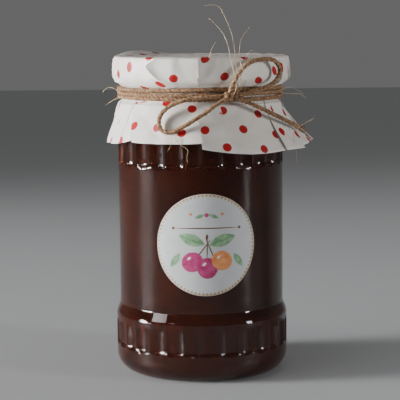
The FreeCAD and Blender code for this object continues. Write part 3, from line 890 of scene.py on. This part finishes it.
def object_noise(nodes, links, scale, detail=3.0, stretch=(1, 1, 1)):
    """A noise on Object coordinates. scale is in features per metre."""
    place = nodes.new("ShaderNodeTexCoord")
    mapping = nodes.new("ShaderNodeMapping")
    mapping.inputs["Scale"].default_value = stretch
    links.new(place.outputs["Object"], mapping.inputs["Vector"])
    texture = nodes.new("ShaderNodeTexNoise")
    texture.inputs["Scale"].default_value = scale
    texture.inputs["Detail"].default_value = detail
    links.new(mapping.outputs["Vector"], texture.inputs["Vector"])
    return texture.outputs["Fac"]


def colour_ramp(nodes, links, source, stops):
    """A colour that goes from stop to stop, each a (place, colour) pair, as the source grows."""
    ramp = nodes.new("ShaderNodeValToRGB")
    elements = ramp.color_ramp.elements
    while len(elements) < len(stops):
        elements.new(0.5)
    for element, (place, colour) in zip(elements, stops):
        element.position = place
        element.color = (*colour, 1)
    links.new(source, ramp.inputs["Fac"])
    return ramp.outputs["Color"]


def mottle(nodes, links, shader, scale, detail, stops, stretch=(1, 1, 1)):
    """Lets the base colour wander between the stops, in patches of the noise's scale."""
    wander = object_noise(nodes, links, scale, detail, stretch)
    links.new(colour_ramp(nodes, links, wander, stops), shader.inputs["Base Color"])


def add_bump(nodes, links, shader, source, strength, distance):
    """Fine relief from a pattern. distance is its depth in metres."""
    bump = nodes.new("ShaderNodeBump")
    bump.inputs["Strength"].default_value = strength
    bump.inputs["Distance"].default_value = distance
    links.new(source, bump.inputs["Height"])
    links.new(bump.outputs["Normal"], shader.inputs["Normal"])


def paint(pieces, *materials):
    for piece in pieces:
        piece.data.materials.clear()
        for material in materials:
            piece.data.materials.append(material)


# %% Glass and jelly
# The jelly has no gloss of its own: what shines in front of it is the glass.
glass, nodes, links, shader = new_material("clear_glass", (0.96, 0.985, 0.97), 0.015,
                                           IOR=1.5, Transmission_Weight=1.0)
jelly_mat, nodes, links, shader = new_material("dark_jelly", (0.10, 0.02, 0.012), 0.6,
                                               Specular_IOR_Level=0.0)
mottle(nodes, links, shader, 38, 4,
       ((0.3, (0.036, 0.0058, 0.0018)), (0.6, (0.056, 0.0095, 0.0030)), (0.8, (0.078, 0.0145, 0.0042))))
paint([jar_glass], glass)
paint([jelly_piece], jelly_mat)

# %% Twine
# Jute's colour varies from hair to hair, and the mottle also paints shade and light into it: its small,
# strong dark patches are painted shade for the gaps between bright hairs, which make it look hairy.
jute, nodes, links, shader = new_material("jute", (0.36, 0.22, 0.11), 0.85)
mottle(nodes, links, shader, 900, 4,
       ((0.28, (0.10, 0.050, 0.024)), (0.5, (0.27, 0.15, 0.075)), (0.75, (0.48, 0.31, 0.18))),
       stretch=(1, 1, 0.6))
add_bump(nodes, links, shader, object_noise(nodes, links, 2600, 3), 0.6, 0.00015)
pale_jute, nodes, links, shader = new_material("pale_jute", (0.55, 0.40, 0.25), 0.75)
mottle(nodes, links, shader, 300, 2, ((0.3, (0.36, 0.24, 0.13)), (0.7, (0.70, 0.54, 0.36))))
paint([loop_upper, loop_lower, tail, wound_twine, bow_knot], jute)
paint(fibres, pale_jute)

# %% Dotted paper
# The dots are a square lattice on the flat disc. A place is moved and turned into the lattice,
# cut down to its own cell, and inked where it is near the cell's middle.
DOT_PITCH = 13.6
DOT_R = 2.18
LATTICE_TURN = 26.0
LATTICE_START = (14.5, 49.0)
PAPER = (0.79, 0.775, 0.75)
dotted, nodes, links, shader = new_material("dotted_paper", PAPER, 0.5)
flat_uv = nodes.new("ShaderNodeUVMap")
flat_uv.uv_map = "flat_disc"


def vector_step(operation, source, values=None):
    """One vector maths node, fed by the source and, where it needs them, by fixed values."""
    node = nodes.new("ShaderNodeVectorMath")
    node.operation = operation
    links.new(source, node.inputs[0])
    if values is not None:
        if operation == "SCALE":
            node.inputs["Scale"].default_value = values
        else:
            node.inputs[1].default_value = values
    return node


start_uv = (LATTICE_START[0] / UV_SPAN + 0.5, LATTICE_START[1] / UV_SPAN + 0.5, 0)
moved = vector_step("SUBTRACT", flat_uv.outputs["UV"], start_uv)
turned = nodes.new("ShaderNodeVectorRotate")
turned.rotation_type = "Z_AXIS"
turned.inputs["Angle"].default_value = -math.radians(LATTICE_TURN)
links.new(moved.outputs["Vector"], turned.inputs["Vector"])
celled = vector_step("SCALE", turned.outputs["Vector"], UV_SPAN / DOT_PITCH)
shifted = vector_step("ADD", celled.outputs["Vector"], (0.5, 0.5, 0))
in_cell = vector_step("FRACTION", shifted.outputs["Vector"])
centred = vector_step("SUBTRACT", in_cell.outputs["Vector"], (0.5, 0.5, 0))
from_dot = vector_step("LENGTH", centred.outputs["Vector"])
inked = nodes.new("ShaderNodeMapRange")
inked.inputs["From Min"].default_value = (DOT_R + 0.12) / DOT_PITCH
inked.inputs["From Max"].default_value = (DOT_R - 0.12) / DOT_PITCH
links.new(from_dot.outputs["Value"], inked.inputs["Value"])
tone = colour_ramp(nodes, links, object_noise(nodes, links, 60, 3),
                   ((0.3, (0.75, 0.705, 0.65)), (0.7, (0.80, 0.76, 0.705))))
ink = colour_ramp(nodes, links, object_noise(nodes, links, 500, 3),
                  ((0.3, (0.36, 0.0015, 0.003)), (0.7, (0.46, 0.003, 0.005))))
mix = nodes.new("ShaderNodeMix")
mix.data_type = "RGBA"
links.new(inked.outputs["Result"], mix.inputs["Factor"])
links.new(tone, mix.inputs["A"])
links.new(ink, mix.inputs["B"])
links.new(mix.outputs["Result"], shader.inputs["Base Color"])
add_bump(nodes, links, shader, object_noise(nodes, links, 700, 4), 0.12, 0.0002)
plain_paper, nodes, links, shader = new_material("plain_paper", PAPER, 0.6)
mottle(nodes, links, shader, 60, 3, ((0.3, (0.73, 0.695, 0.65)), (0.7, (0.78, 0.75, 0.705))))
add_bump(nodes, links, shader, object_noise(nodes, links, 700, 4), 0.12, 0.0002)
paint([cover_piece], dotted, plain_paper)

# %% Label paper and its inks
label_paper, nodes, links, shader = new_material("label_paper", (0.80, 0.765, 0.70), 0.55)
mottle(nodes, links, shader, 120, 4, ((0.3, (0.50, 0.51, 0.52)), (0.7, (0.55, 0.56, 0.57))))
add_bump(nodes, links, shader, object_noise(nodes, links, 1500, 3), 0.1, 0.0001)
paint([label_piece], label_paper)


def ink_material(name, dark, light):
    """An ink that printed a little unevenly."""
    material, nodes, links, shader = new_material(name, light, 0.5)
    mottle(nodes, links, shader, 420, 3, ((0.32, dark), (0.68, light)))
    return material


paint([gold_dots, gold_ring], ink_material("gold_ink", (0.34, 0.19, 0.03), (0.48, 0.29, 0.06)))
paint([leaves], ink_material("leaf_ink", (0.12, 0.26, 0.13), (0.28, 0.46, 0.27)))
paint([veins], ink_material("vein_ink", (0.07, 0.16, 0.08), (0.12, 0.24, 0.12)))
paint([stalks], ink_material("stalk_ink", (0.10, 0.045, 0.025), (0.18, 0.09, 0.05)))
paint([plums], ink_material("plum_ink", (0.32, 0.02, 0.10), (0.52, 0.07, 0.22)))
paint([apricots], ink_material("apricot_ink", (0.62, 0.20, 0.05), (0.78, 0.34, 0.14)))
paint([shines], ink_material("shine_ink", (0.80, 0.62, 0.60), (0.86, 0.74, 0.70)))
# %% The lid's lacquer
lacquer, nodes, links, shader = new_material("lid_lacquer", (0.62, 0.61, 0.58), 0.35, Metallic=0.3)
add_bump(nodes, links, shader, object_noise(nodes, links, 300, 2), 0.05, 0.0002)
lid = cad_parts["lid"]
for slot in lid.material_slots:
    slot.material = lacquer

# %% [markdown]
# ## Floor and light
#
# The jar stands on a plain pale floor. A large soft light stands far to the left, as a window
# would, and draws the bright veil down the glass there. A weaker one fills from the right, one
# hangs above, and a long strip is there for the gleam on the foot's shoulder. The lights shine in
# narrow cones: a brightly lit floor would mirror in the glass and turn the jelly grey.

# %% The floor and the lights
FLOOR_HALF = 3
floor = bmesh.new()
bmesh.ops.create_grid(floor, x_segments=1, y_segments=1, size=FLOOR_HALF)
floor_mesh = bpy.data.meshes.new("floor")
floor.to_mesh(floor_mesh)
floor.free()
floor_piece = bpy.data.objects.new("floor", floor_mesh)
floor_piece.location.z = -0.1 * MM
bpy.context.scene.collection.objects.link(floor_piece)
floor_paint, nodes, links, shader = new_material("floor_paint", (0.62, 0.63, 0.64), 0.6)
floor_mesh.materials.append(floor_paint)

world = bpy.data.worlds.new("studio")
world.use_nodes = True
background = world.node_tree.nodes["Background"]
background.inputs["Color"].default_value = (0.80, 0.80, 0.80, 1)
background.inputs["Strength"].default_value = 0.17
bpy.context.scene.world = world


def soft_light(name, place, target, wide, tall, power, spread):
    """A soft box that faces its target. power is in watts, spread is its cone in degrees."""
    data = bpy.data.lights.new(name, "AREA")
    data.shape = "RECTANGLE"
    data.size = wide
    data.size_y = tall
    data.energy = power
    data.spread = math.radians(spread)
    lamp = bpy.data.objects.new(name, data)
    bpy.context.scene.collection.objects.link(lamp)
    lamp.location = place
    lamp.rotation_euler = (Vector(target) - Vector(place)).to_track_quat("-Z", "Y").to_euler()


soft_light("window", (-2.7, -0.40, 0.34), (0, 0, 0.12), 1.3, 0.6, 8.2, 22)
soft_light("above", (-0.3, -0.5, 1.7), (0, 0, 0.12), 1.2, 0.3, 0.10, 35)
soft_light("strip", (-1.25, -0.5, 0.6), (0, 0, 0.06), 1.6, 0.12, 0.8, 70)
soft_light("fill", (1.35, -0.6, 0.25), (0, 0, 0.12), 0.2, 0.5, 0.45, 35)
